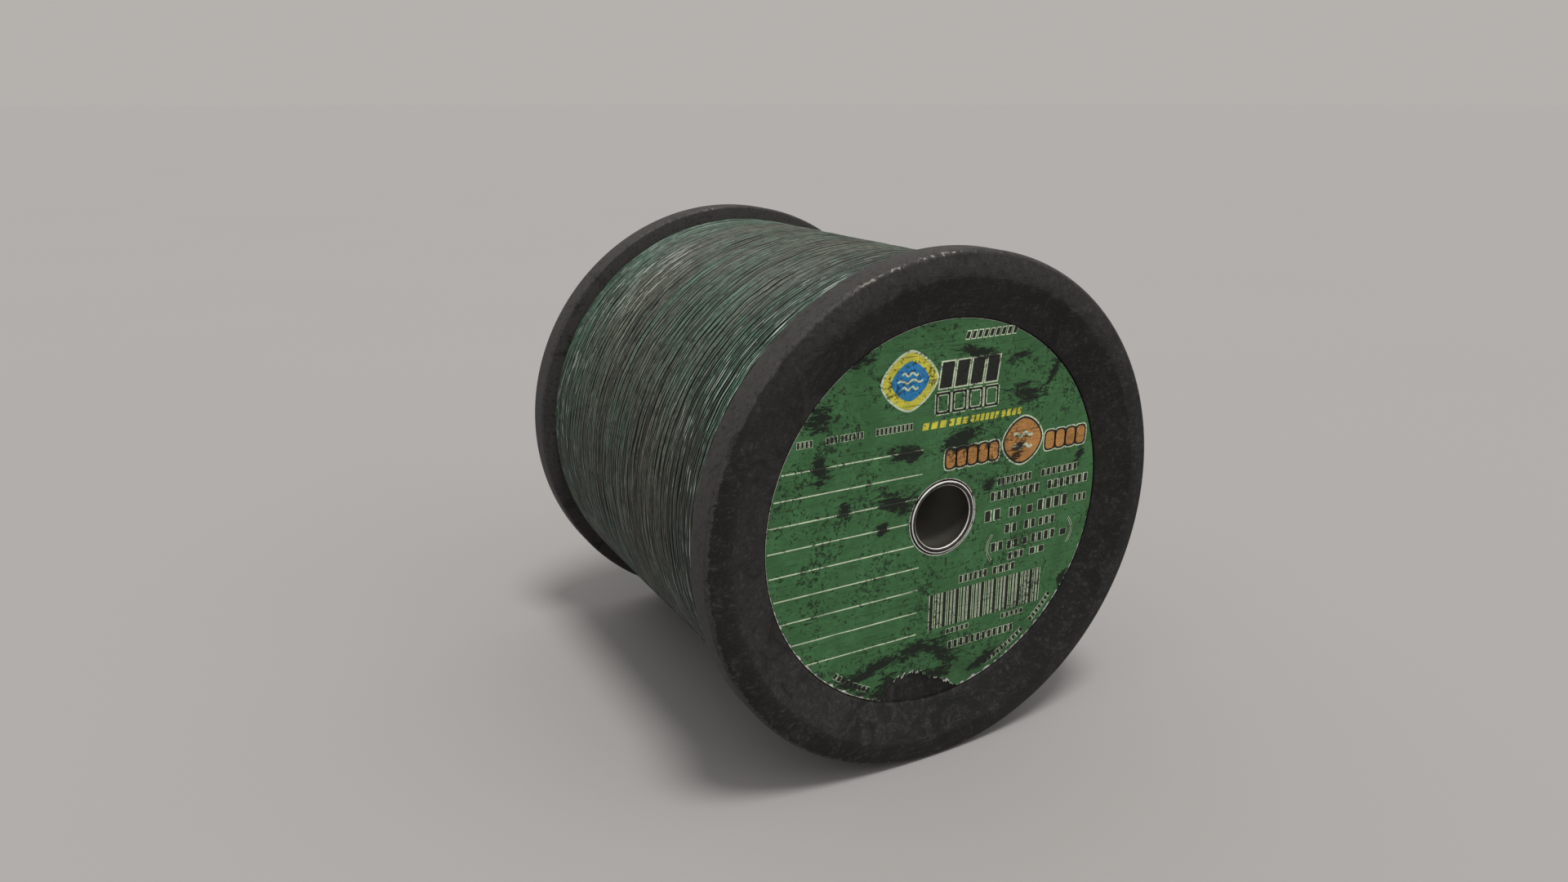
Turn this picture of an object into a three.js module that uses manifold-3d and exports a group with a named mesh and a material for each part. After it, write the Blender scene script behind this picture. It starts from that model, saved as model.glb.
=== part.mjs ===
// A bulk spool of braided fishing line, lying on its two rims.
// Millimetres, +Z up. The spindle axis runs along Y and the front label faces -Y.
// The origin is on the floor, midway between the rims and straight below the axis.
//
// Two identical black flanges are pressed into the ends of a barrel, with an arbor tube
// through their bosses. The line is wound on the barrel, over the tape that holds its
// inner end, and a paper label covers the recessed web of each flange.

import * as THREE from 'three';
import { mergeVertices } from 'three/addons/utils/BufferGeometryUtils.js';
import Module from 'manifold-3d';

const wasm = await Module();
wasm.setup();

// Driving dimensions.
const SEGMENTS = 72;           // flats around every round piece
const GAP = 0.3;               // left between pieces that touch
const RIM_RADIUS = 63.5;       // outside of the flanges, 127 mm across
const CREST_Y = 61.8;          // flat crest of the flange, the widest plane of the spool
const CREST_OUTER = 59.2;      // the crest is flat from this radius
const CREST_INNER = 57.6;      // in to this one, where the dish begins
const FLANGE_INNER_Y = 53.2;   // inner face of the flange, against the line
const DISH_RADIUS = 48;        // foot of the dished wall, where the label recess starts
const DISH_Y = 58.45;          // height of that foot
const RECESS_DEPTH = 0.65;     // from the foot of the dish to the label's seat
const WEB_THICKNESS = 2.4;     // plate behind the label
const WALL = 2.4;              // wall of the barrel and of the spigot
const LINE_RADIUS = 59.9;      // outside of the wound line
const BARREL_RADIUS = 52.2;    // outside of the barrel, under the line
const BORE_RADIUS = 7.95;      // arbor bore, for a 5/8 inch (15.9 mm) spindle
const TUBE_WALL = 1.15;        // wall of the arbor tube
const RIB_COUNT = 4;           // radial ribs behind the web
const PAPER = 0.25;            // thickness of a label
const TAPE = 0.2;              // thickness of the anchor tape

// Dimensions that follow from them.
const SEAT_Y = DISH_Y - RECESS_DEPTH;
const WEB_BACK_Y = SEAT_Y - WEB_THICKNESS;
const TUBE_RADIUS = BORE_RADIUS + TUBE_WALL;
const BOSS_BORE = TUBE_RADIUS + GAP;
const BOSS_RADIUS = BOSS_BORE + 2.8;
const BOSS_END_Y = 40;
const BARREL_BORE = BARREL_RADIUS - WALL;
const SPIGOT_RADIUS = BARREL_BORE - GAP;
const SPIGOT_BORE = SPIGOT_RADIUS - WALL;
const SPIGOT_END_Y = 43;
const RIB_END_Y = 47.4;
const RIB_THICKNESS = 2;
const BARREL_END_Y = FLANGE_INNER_Y - GAP;
const TAPE_RADIUS = BARREL_RADIUS + GAP;
const LINE_BORE = TAPE_RADIUS + TAPE + GAP;
const LABEL_RADIUS = DISH_RADIUS - GAP;
const LABEL_HOLE = BOSS_BORE + 0.1;
const LABEL_BACK_Y = SEAT_Y + GAP;
const TUBE_END_Y = LABEL_BACK_Y + PAPER + 0.1;

// A flat of the rims is level underneath, so the axis is this high above the floor.
const HALF_STEP = Math.PI / SEGMENTS;
const AXIS_HEIGHT = RIM_RADIUS * Math.cos(HALF_STEP);

// The long ragged bite out of the front label's lower edge, as [x, z] from the axis,
// from its left end to its right end as seen from the front.
const TEAR = [
  [-15, -42.3],
  [-12.7, -40],
  [-7.7, -39.4],
  [-4.3, -40.2],
  [-2.2, -42.3],
  [0.7, -42.8],
  [4.8, -45.6],
];
const TEAR_LEFT_X = -15.3;
const TEAR_RIGHT_X = 7.3;

const materials = {
  flange: new THREE.MeshStandardMaterial({ color: 0x26262a, roughness: 0.6 }),
  barrel: new THREE.MeshStandardMaterial({ color: 0x303033, roughness: 0.7 }),
  arbor: new THREE.MeshStandardMaterial({ color: 0x1c1c1f, roughness: 0.5 }),
  label: new THREE.MeshStandardMaterial({ color: 0x2b6a3c, roughness: 0.55 }),
  line: new THREE.MeshStandardMaterial({ color: 0x35493f, roughness: 0.7 }),
  tape: new THREE.MeshStandardMaterial({ color: 0xc9b98a, roughness: 0.8 }),
};

// Points of a quarter-round corner in the plane of a profile, from one angle to another.
function roundCorner(centerRadius, centerY, radius, fromDegrees, toDegrees, steps) {
  const points = [];
  for (let i = 0; i <= steps; i++) {
    const angle = THREE.MathUtils.degToRad(fromDegrees + ((toDegrees - fromDegrees) * i) / steps);
    points.push([centerRadius + radius * Math.cos(angle), centerY + radius * Math.sin(angle)]);
  }
  return points;
}

// A closed ring about the Y axis from its [radius, y] section, listed counterclockwise.
function ring(section) {
  const points = section.map(([radius, y]) => new THREE.Vector2(radius, y));
  points.push(points[0].clone());
  return new THREE.LatheGeometry(points, SEGMENTS, HALF_STEP);
}

function toSolid(geometry) {
  const bare = geometry.clone();
  bare.deleteAttribute('normal');
  bare.deleteAttribute('uv');
  const merged = mergeVertices(bare, 1e-4);
  const vertProperties = new Float32Array(merged.attributes.position.array);
  const triVerts = new Uint32Array(merged.index.array);
  return new wasm.Manifold(new wasm.Mesh({ numProp: 3, vertProperties, triVerts }));
}

function toGeometry(solid) {
  const { vertProperties, triVerts } = solid.getMesh();
  const geometry = new THREE.BufferGeometry();
  geometry.setAttribute('position', new THREE.BufferAttribute(vertProperties, 3));
  geometry.setIndex(new THREE.BufferAttribute(triVerts, 1));
  return geometry;
}

// The section of a flange that faces +Y: boss, web, spigot, inner face, rim, crest and dish.
function flangeSection() {
  const rimOuter = roundCorner(RIM_RADIUS - 1.5, CREST_Y - 2, 1.5, 0, 75, 3);
  const crest = roundCorner(CREST_INNER, CREST_Y - 1.6, 1.6, 90, 111, 2);
  return [
    [BOSS_BORE, BOSS_END_Y],
    [BOSS_RADIUS, BOSS_END_Y],
    [BOSS_RADIUS, WEB_BACK_Y],
    [SPIGOT_BORE, WEB_BACK_Y],
    [SPIGOT_BORE, SPIGOT_END_Y],
    [SPIGOT_RADIUS - 0.6, SPIGOT_END_Y],
    [SPIGOT_RADIUS, SPIGOT_END_Y + 1.2],
    [SPIGOT_RADIUS, FLANGE_INNER_Y],
    [RIM_RADIUS - 0.8, FLANGE_INNER_Y],
    [RIM_RADIUS - 0.25, FLANGE_INNER_Y + 0.25],
    [RIM_RADIUS, FLANGE_INNER_Y + 0.8],
    ...rimOuter,
    [CREST_OUTER, CREST_Y],
    ...crest,
    [DISH_RADIUS + 0.4, DISH_Y + 0.15],
    [DISH_RADIUS, DISH_Y],
    [DISH_RADIUS, SEAT_Y],
    [BOSS_BORE, SEAT_Y],
  ];
}

// One rib behind the web, from the boss to the spigot, before it is turned into place.
function ribGeometry() {
  const overlap = 0.5;
  const inner = BOSS_RADIUS - overlap;
  const outer = SPIGOT_BORE + overlap;
  const depth = WEB_BACK_Y + overlap - RIB_END_Y;
  const rib = new THREE.BoxGeometry(outer - inner, depth, RIB_THICKNESS);
  rib.translate((outer + inner) / 2, RIB_END_Y + depth / 2, 0);
  return rib;
}

function flangeGeometry() {
  let solid = toSolid(ring(flangeSection()));
  for (let i = 0; i < RIB_COUNT; i++) {
    const rib = ribGeometry();
    rib.rotateY(((i + 0.5) * 2 * Math.PI) / RIB_COUNT);
    solid = solid.add(toSolid(rib));
  }
  return toGeometry(solid);
}

function barrelGeometry() {
  return ring([
    [BARREL_BORE, -BARREL_END_Y],
    [BARREL_RADIUS, -BARREL_END_Y],
    [BARREL_RADIUS, BARREL_END_Y],
    [BARREL_BORE, BARREL_END_Y],
  ]);
}

// A plain tube with a small chamfer at each mouth of its bore.
function arborTubeGeometry() {
  const chamfer = 0.35;
  return ring([
    [BORE_RADIUS, chamfer - TUBE_END_Y],
    [BORE_RADIUS + chamfer, -TUBE_END_Y],
    [TUBE_RADIUS, -TUBE_END_Y],
    [TUBE_RADIUS, TUBE_END_Y],
    [BORE_RADIUS + chamfer, TUBE_END_Y],
    [BORE_RADIUS, TUBE_END_Y - chamfer],
  ]);
}

// The whole pack of line as one ring, with its shoulders eased beside the flanges.
function woundLineGeometry() {
  const shoulder = 0.7;
  return ring([
    [LINE_BORE, -BARREL_END_Y],
    [LINE_RADIUS - shoulder, -BARREL_END_Y],
    [LINE_RADIUS, shoulder - BARREL_END_Y],
    [LINE_RADIUS, BARREL_END_Y - shoulder],
    [LINE_RADIUS - shoulder, BARREL_END_Y],
    [LINE_BORE, BARREL_END_Y],
  ]);
}

// The angle of a point on the label's edge, below the axis, from its x.
function edgeAngle(x) {
  return -Math.acos(x / LABEL_RADIUS);
}

// A disc with a round hole, drawn as seen from its printed side. A tear replaces a
// stretch of the edge at the bottom.
function labelGeometry(torn) {
  const outline = new THREE.Shape();
  if (torn) {
    outline.absarc(0, 0, LABEL_RADIUS, edgeAngle(TEAR_RIGHT_X), edgeAngle(TEAR_LEFT_X) + 2 * Math.PI);
    for (const [x, z] of TEAR) {
      outline.lineTo(x, z);
    }
    outline.closePath();
  } else {
    outline.absarc(0, 0, LABEL_RADIUS, 0, 2 * Math.PI);
  }
  const hole = new THREE.Path();
  hole.absarc(0, 0, LABEL_HOLE, 0, 2 * Math.PI, true);
  outline.holes.push(hole);
  const label = new THREE.ExtrudeGeometry(outline, {
    depth: PAPER,
    bevelEnabled: false,
    curveSegments: SEGMENTS,
  });
  label.rotateX(Math.PI / 2);
  label.translate(0, -LABEL_BACK_Y, 0);
  return label;
}

// A strip of tape wrapped part of the way round the barrel, over the line's inner end.
function anchorTapeGeometry() {
  const wrap = THREE.MathUtils.degToRad(36);
  const width = 12;
  const strip = new THREE.Shape();
  strip.absarc(0, 0, TAPE_RADIUS + TAPE, -wrap / 2, wrap / 2);
  strip.absarc(0, 0, TAPE_RADIUS, wrap / 2, -wrap / 2, true);
  strip.closePath();
  const tape = new THREE.ExtrudeGeometry(strip, { depth: width, bevelEnabled: false, curveSegments: 10 });
  tape.rotateX(Math.PI / 2);
  return tape;
}

function piece(name, geometry, material) {
  const mesh = new THREE.Mesh(geometry, material);
  mesh.name = name;
  return mesh;
}

const flange = flangeGeometry();
const rearFlange = piece('rear_flange', flange, materials.flange);
const frontFlange = piece('front_flange', flange, materials.flange);
frontFlange.rotation.z = Math.PI;

const frontLabel = piece('front_label', labelGeometry(true), materials.label);
const rearLabel = piece('rear_label', labelGeometry(false), materials.label);
rearLabel.rotation.z = Math.PI;

const anchorTape = piece('anchor_tape', anchorTapeGeometry(), materials.tape);
anchorTape.position.y = BARREL_END_Y - 4;

const spool = new THREE.Group();
spool.position.z = AXIS_HEIGHT;
spool.add(
  frontFlange,
  rearFlange,
  piece('barrel', barrelGeometry(), materials.barrel),
  piece('arbor_tube', arborTubeGeometry(), materials.arbor),
  piece('wound_line', woundLineGeometry(), materials.line),
  frontLabel,
  rearLabel,
  anchorTape,
);

const group = new THREE.Group();
group.add(spool);

export default group;
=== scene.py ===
"""Looks of a bulk spool of braided fishing line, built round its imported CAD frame.

Shapes are worked out in millimetres about the spindle axis: x to the right seen from the
front, y along the axis towards the rear, z up from the axis. They are put into the frame
by make_piece, which changes them to metres and lifts them to the height of the axis.
"""

import itertools
import math

import bpy
import numpy as np
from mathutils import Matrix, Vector


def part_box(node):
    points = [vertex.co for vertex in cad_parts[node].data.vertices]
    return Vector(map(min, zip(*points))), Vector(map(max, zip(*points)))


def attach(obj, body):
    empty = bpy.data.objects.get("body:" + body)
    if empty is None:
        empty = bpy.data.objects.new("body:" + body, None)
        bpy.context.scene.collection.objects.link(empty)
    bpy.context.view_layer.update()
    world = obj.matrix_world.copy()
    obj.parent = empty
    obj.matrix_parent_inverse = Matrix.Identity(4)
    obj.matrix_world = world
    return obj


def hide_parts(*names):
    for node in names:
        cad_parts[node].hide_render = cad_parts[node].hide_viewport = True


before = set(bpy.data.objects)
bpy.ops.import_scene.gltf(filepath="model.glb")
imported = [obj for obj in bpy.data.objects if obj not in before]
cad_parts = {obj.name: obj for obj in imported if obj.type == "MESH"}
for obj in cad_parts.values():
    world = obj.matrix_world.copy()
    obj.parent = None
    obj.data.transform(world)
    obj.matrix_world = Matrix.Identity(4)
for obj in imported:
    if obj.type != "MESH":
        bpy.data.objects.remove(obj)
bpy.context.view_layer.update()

MM = 0.001
BODY = "root"


def box_mm(node):
    """Lowest and highest corner of a CAD node, in millimetres."""
    lo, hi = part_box(node)
    return np.array(lo) / MM, np.array(hi) / MM


# Sizes that come from the frame.
flange_lo, flange_hi = box_mm("front_flange")
line_lo, line_hi = box_mm("wound_line")
label_lo, label_hi = box_mm("front_label")
tube_lo, tube_hi = box_mm("arbor_tube")
barrel_lo, barrel_hi = box_mm("barrel")
AXIS_HEIGHT = (flange_lo[2] + flange_hi[2]) / 2
RIM_RADIUS = (flange_hi[0] - flange_lo[0]) / 2
CREST_Y = -flange_lo[1]
BOSS_END_Y = -flange_hi[1]
LINE_RADIUS = (line_hi[0] - line_lo[0]) / 2
LINE_END_Y = line_hi[1]
LABEL_RADIUS = (label_hi[0] - label_lo[0]) / 2
LABEL_FRONT_Y = -label_lo[1]
PAPER = label_hi[1] - label_lo[1]
TUBE_RADIUS = (tube_hi[0] - tube_lo[0]) / 2
TUBE_END_Y = tube_hi[1]
BARREL_RADIUS = (barrel_hi[0] - barrel_lo[0]) / 2

# Sizes of the moulding that the boxes don't give, as the CAD part has them.
GAP = 0.3
WALL = 2.4
TUBE_WALL = 1.15
FLANGE_INNER_Y = LINE_END_Y + GAP
DISH_RADIUS = LABEL_RADIUS + GAP
DISH_Y = LABEL_FRONT_Y + 0.1
SEAT_Y = LABEL_FRONT_Y - PAPER - GAP
WEB_BACK_Y = SEAT_Y - WALL
BOSS_BORE = TUBE_RADIUS + GAP
BOSS_RADIUS = BOSS_BORE + 2.8
BOSS_OVERLAP = 0.5           # how far the ribs run into the boss, the spigot and the web
SPIGOT_RADIUS = BARREL_RADIUS - WALL - GAP
SPIGOT_END_Y = 43
SPIGOT_CHAMFER = (0.6, 1.2)
CREST_INNER = 57.6
CREST_OUTER = 59.2
CREST_ROUND = 1.6
RIM_ROUND = 1.5
RIM_DROP = 2                 # from the crest down to the middle of the rim's round
INNER_ROUND = 0.8
RIB_COUNT = 4
RIB_THICKNESS = 2
RIB_END_Y = 47.4
BORE_RADIUS = TUBE_RADIUS - TUBE_WALL
TUBE_CHAMFER = 0.35
TUBE_ROUND = 0.15
TUBE_STEPS = 128
LABEL_HOLE = BOSS_BORE + 0.1
ROUND_STEPS = 256


# ------------------------------ meshes


def make_piece(name, points, faces, material, smooth_angle=40):
    """A mesh object from points in mm about the axis. It rides on the spool."""
    points = np.asarray(points, dtype=float).reshape(-1, 3)
    placed = (points + (0, 0, AXIS_HEIGHT)) * MM
    faces = np.asarray(faces)
    mesh = bpy.data.meshes.new(name)
    mesh.vertices.add(len(placed))
    mesh.vertices.foreach_set("co", placed.astype(np.float32).ravel())
    corners = faces.shape[1]
    mesh.loops.add(faces.size)
    mesh.loops.foreach_set("vertex_index", faces.astype(np.int32).ravel())
    mesh.polygons.add(len(faces))
    mesh.polygons.foreach_set("loop_start", np.arange(0, faces.size, corners, dtype=np.int32))
    mesh.update(calc_edges=True)
    mesh.validate()
    mesh.shade_smooth()
    mesh.set_sharp_from_angle(angle=math.radians(smooth_angle))
    mesh.materials.append(material)
    piece = bpy.data.objects.new(name, mesh)
    bpy.context.scene.collection.objects.link(piece)
    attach(piece, BODY)
    return piece


def grid_faces(rows, columns, wrap_rows=False, wrap_columns=False):
    """Quads over a grid of points numbered row by row."""
    row = np.arange(rows if wrap_rows else rows - 1)
    column = np.arange(columns if wrap_columns else columns - 1)
    row, column = [a.ravel() for a in np.meshgrid(row, column, indexing="ij")]
    next_row = (row + 1) % rows
    next_column = (column + 1) % columns
    corners = ((row, column), (next_row, column), (next_row, next_column), (row, next_column))
    return np.stack([r * columns + c for r, c in corners], axis=1)


def around(radius, y, angle):
    """Points at a radius and a distance along the axis. Angle 0 is up and 90 degrees is +x."""
    radius, y, angle = np.broadcast_arrays(radius, y, angle)
    return np.stack([radius * np.sin(angle), y, radius * np.cos(angle)], axis=-1)


def lathe(section, steps=ROUND_STEPS):
    """A ring about the axis from its closed [radius, y] section, listed counterclockwise."""
    section = np.array(section, dtype=float)
    angle = np.linspace(0, 2 * np.pi, steps, endpoint=False)[:, None]
    points = around(section[None, :, 0], section[None, :, 1], angle)
    return points.reshape(-1, 3), grid_faces(steps, len(section), True, True)


def joined(shapes):
    """Several (points, faces) shapes as one."""
    points, faces, count = [], [], 0
    for shape_points, shape_faces in shapes:
        points.append(shape_points)
        faces.append(np.asarray(shape_faces) + count)
        count += len(shape_points)
    return np.concatenate(points), np.concatenate(faces)


def turned_round(points):
    """The same points after half a turn about the vertical, which swaps front and rear."""
    return np.asarray(points) * (-1, -1, 1)


def round_corner(radius, y, size, start, end, steps):
    """An arc of a section about a centre, from one angle to another in degrees."""
    angles = np.radians(np.linspace(start, end, steps + 1))
    return [[radius + size * math.cos(a), y + size * math.sin(a)] for a in angles]


# ------------------------------ material nodes


class Nodes:
    """A node tree. Each method adds a node and gives back its output socket."""

    def __init__(self, owner):
        owner.use_nodes = True
        self.tree = owner.node_tree

    def add(self, kind, inputs=(), **settings):
        """A new node, its inputs fed by name or number."""
        node = self.tree.nodes.new(kind)
        for key, value in settings.items():
            setattr(node, key, value)
        for key, value in dict(inputs).items():
            self.feed(node.inputs[key], value)
        return node

    def feed(self, socket, value):
        if isinstance(value, bpy.types.NodeSocket):
            self.tree.links.new(value, socket)
        else:
            socket.default_value = value

    def math(self, operation, first, second=0.0, clamp=False):
        inputs = {0: first, 1: second}
        return self.add("ShaderNodeMath", inputs, operation=operation, use_clamp=clamp).outputs[0]

    def plus(self, first, second):
        return self.math("ADD", first, second)

    def times(self, first, second):
        return self.math("MULTIPLY", first, second)

    def larger(self, first, second):
        return self.math("MAXIMUM", first, second)

    def total(self, *parts):
        """The sum of values that each have a weight."""
        result = 0.0
        for value, weight in parts:
            result = self.plus(result, self.times(value, weight))
        return result

    def hypotenuse(self, first, second):
        """The long side of a right triangle with these two short sides."""
        squares = [self.math("POWER", side, 2) for side in (first, second)]
        return self.math("SQRT", self.plus(*squares))

    def measure(self, operation, first, second=(0, 0, 0)):
        """The LENGTH of a vector, or the DISTANCE between two places."""
        inputs = {0: first, 1: second}
        return self.add("ShaderNodeVectorMath", inputs, operation=operation).outputs["Value"]

    def split(self, vector):
        return self.add("ShaderNodeSeparateXYZ", {0: vector}).outputs

    def mapped(self, vector, scale, degrees=0, centre=(0, 0, 0), kind="POINT"):
        """A vector turned about y and scaled. With TEXTURE, scale and centre are a shape's own."""
        turn = (0, math.radians(degrees), 0)
        inputs = {"Vector": vector, "Location": centre, "Rotation": turn, "Scale": scale}
        return self.add("ShaderNodeMapping", inputs, vector_type=kind).outputs[0]

    def noise(self, vector, scale, detail=3.0, roughness=0.55, distortion=0.0):
        names = ("Vector", "Scale", "Detail", "Roughness", "Distortion")
        inputs = zip(names, (vector, scale, detail, roughness, distortion))
        return self.add("ShaderNodeTexNoise", inputs).outputs["Fac"]

    def ramp(self, value, low, high):
        """0 at low and 1 at high, smooth between them. low may be the larger."""
        inputs = {"Value": value, "From Min": low, "From Max": high}
        node = self.add("ShaderNodeMapRange", inputs, interpolation_type="SMOOTHSTEP")
        return node.outputs["Result"]

    def spread(self, value, low, high):
        """A 0 to 1 value stretched to run from low to high."""
        inputs = {"Value": value, "To Min": low, "To Max": high}
        return self.add("ShaderNodeMapRange", inputs).outputs["Result"]

    def mix(self, share, first, second):
        node = self.add("ShaderNodeMix", data_type="RGBA")
        colours = [s for s in node.inputs if s.type == "RGBA"]
        self.feed(node.inputs[0], share)
        for socket, value in zip(colours, (first, second)):
            self.feed(socket, (*value, 1.0) if isinstance(value, tuple) else value)
        return next(s for s in node.outputs if s.type == "RGBA")

    def over(self, colour, tone, share, strength=1.0):
        """A colour with a tone laid over it, as thick as share says, up to strength."""
        if strength < 1:
            share = self.times(share, strength)
        return self.mix(share, colour, tone)

    def attribute(self, name):
        return self.add("ShaderNodeAttribute", attribute_name=name).outputs["Fac"]

    def bump(self, height, distance_mm, strength):
        inputs = {"Height": height, "Distance": distance_mm * MM, "Strength": strength}
        return self.add("ShaderNodeBump", inputs).outputs[0]


class Finish(Nodes):
    """A material."""

    def __init__(self, name):
        self.material = bpy.data.materials.new(name)
        super().__init__(self.material)

    def position(self):
        """The place on the object in mm about the axis."""
        place = self.add("ShaderNodeTexCoord").outputs["Object"]
        inputs = {0: place, 1: (1 / MM, 1 / MM, 1 / MM), 2: (0, 0, -AXIS_HEIGHT)}
        return self.add("ShaderNodeVectorMath", inputs, operation="MULTIPLY_ADD").outputs[0]

    def set(self, **values):
        """Sets or links the shader's own sockets, with _ for each space."""
        shader = self.tree.nodes["Principled BSDF"]
        for key, value in values.items():
            self.feed(shader.inputs[key.replace("_", " ")], value)
        return self.material


def scratches(finish, place, marks, amount):
    """Where thin straight marks lie, from 0 to 1. Each kind has an angle, length and width."""
    share = 0.0
    for angle, length, width in marks:
        drawn = finish.mapped(place, (1 / length, 1 / width, 1 / width), angle)
        lines = finish.noise(drawn, 1.0, 2.0, 0.5, 0.4)
        share = finish.larger(share, finish.ramp(lines, 1 - amount, 1 - amount + 0.06))
    return share


def near_edge(finish, radius, height, edge_radius, edge_y):
    """How far a place is from an edge that runs round the axis, in mm."""
    across = finish.math("SUBTRACT", radius, edge_radius)
    along = finish.math("SUBTRACT", height, edge_y)
    return finish.hypotenuse(across, along)


# The flange's bare plastic, and the tones that dust and wear give it.
PLASTIC_DARK = (0.0048, 0.0048, 0.0050)
PLASTIC_LIGHT = (0.0122, 0.0119, 0.0116)
PLASTIC_PIT = (0.0048, 0.0045, 0.0042)
PLASTIC_SCRATCH = (0.07, 0.067, 0.062)
PLASTIC_CHIP_AND_HIGHLIGHT = (0.36, 0.34, 0.31)
CREST_DUST_AND_LIGHT = (0.0260, 0.0250, 0.0236)
RIM_DUST = (0.043, 0.0405, 0.0375)
WALL_DUST_AND_LIGHT = (0.046, 0.043, 0.040)
DISH_DUST = (0.0185, 0.0182, 0.0176)
DUST_HAZE = (0.027, 0.026, 0.0245)
DUST_SPECK = (0.060, 0.057, 0.052)
PLASTIC_SCRATCHES = ((24, 12, 0.25), (-38, 14, 0.22), (81, 10, 0.25))    # angle, length and width


def flange_plastic():
    """Black moulded plastic, dusty on the crest and in the dish, with a few chips on its edges.
    Painted light lightens the top of the crest and the wall beside the line, and a painted
    highlight brightens the edges above and to the left.
    """
    finish = Finish("flange_plastic")
    place = finish.position()
    x, y, z = finish.split(place)
    radius = finish.hypotenuse(x, z)
    height = finish.math("ABSOLUTE", y)
    mottle = finish.noise(place, 0.05, 5, 0.6)
    cloud = finish.noise(place, 0.12, 8, 0.75, 1.2)
    fine = finish.noise(place, 0.9, 5, 0.75)
    grain = finish.noise(place, 4.0, 3, 0.65)
    colour = finish.mix(finish.ramp(mottle, 0.3, 0.75), PLASTIC_DARK, PLASTIC_LIGHT)

    # Dust on top of the crest, along the rim, and on the wall beside the line. On the top of the
    # crest and on the wall, the lighter tone is also painted light.
    ragged = finish.plus(radius, finish.spread(cloud, -6.0, 6.0))
    crest = finish.ramp(ragged, CREST_INNER - 1.6, CREST_INNER + 1.4)
    # Painted highlight: the crest dust lies only on the upper part, so the crest is lighter on top
    # as if lit from above.
    lit_top = finish.ramp(z, 15, RIM_RADIUS)
    colour = finish.over(colour, CREST_DUST_AND_LIGHT, finish.times(crest, lit_top))
    flaky = finish.plus(radius, finish.spread(fine, -1.6, 1.6))
    band = finish.ramp(flaky, RIM_RADIUS - 0.95, RIM_RADIUS - 0.6)
    colour = finish.over(colour, RIM_DUST, band, 0.9)
    # Painted light: the wall beside the line lies in the shade of the line and the flange, and is
    # made lighter as well as dusty.
    wall = finish.ramp(height, FLANGE_INNER_Y + 0.9, FLANGE_INNER_Y + 0.2)
    colour = finish.over(colour, WALL_DUST_AND_LIGHT, finish.times(wall, crest))

    # Dust in the left of the dish, then haze, specks, pits and scratches everywhere.
    lee = finish.total((x, -0.015), (z, -0.003), (finish.spread(cloud, -1.8, 1.8), 1.0))
    dish = finish.times(finish.ramp(lee, 0.1, 0.8), finish.math("SUBTRACT", 1.0, crest))
    colour = finish.over(colour, DISH_DUST, dish)
    colour = finish.over(colour, DUST_HAZE, finish.ramp(cloud, 0.49, 0.6), 0.4)
    specks = finish.times(finish.ramp(fine, 0.53, 0.62), finish.ramp(cloud, 0.42, 0.54))
    colour = finish.over(colour, DUST_SPECK, specks, 0.5)
    pits = finish.larger(finish.ramp(fine, 0.46, 0.38), finish.ramp(cloud, 0.45, 0.36))
    colour = finish.over(colour, PLASTIC_PIT, pits, 0.6)
    marks = scratches(finish, place, PLASTIC_SCRATCHES, 0.34)
    colour = finish.over(colour, PLASTIC_SCRATCH, marks, 0.35)

    # Chips along both edges, most of them above and to the left, where the spool was knocked and
    # where they also paint the edge highlight.
    outer_edge = near_edge(finish, radius, height, RIM_RADIUS - 0.45, CREST_Y - 1.0)
    inner_edge = near_edge(finish, radius, height, RIM_RADIUS - 0.2, FLANGE_INNER_Y + 0.2)
    chips = finish.spread(finish.noise(place, 0.8, 6, 0.8), -2.4, 4.0)
    knock_and_highlight = finish.times(finish.ramp(x, -34, -20), finish.ramp(x, 8, -2))
    knock_and_highlight = finish.times(knock_and_highlight, finish.ramp(z, 0, 20))
    for off, share in ((outer_edge, 0.8), (inner_edge, 0.3)):
        chipped = finish.ramp(finish.plus(off, chips), 0.75, 0.4)
        chipped = finish.times(chipped, finish.spread(knock_and_highlight, 0.04, share))
        colour = finish.over(colour, PLASTIC_CHIP_AND_HIGHLIGHT, chipped)
    relief = finish.total((grain, 0.35), (marks, -0.5), (cloud, 1.2), (fine, 0.6))
    return finish.set(
        Base_Color=colour,
        Roughness=finish.plus(finish.spread(mottle, 0.46, 0.62), finish.times(crest, 0.06)),
        Specular_IOR_Level=0.26,
        Normal=finish.bump(relief, 0.09, 0.9),
    )


TUBE_DARK = (0.010, 0.0095, 0.009)
TUBE_LIGHT = (0.019, 0.018, 0.016)
MOUTH_LINING = ((0.016, 0.015, 0.013), (0.026, 0.025, 0.021))
DEEP_LINING_PAINTED_LIGHT = ((0.20, 0.19, 0.16), (0.26, 0.247, 0.21))
EDGE_WEAR_AND_HIGHLIGHT = (0.80, 0.79, 0.74)


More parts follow.
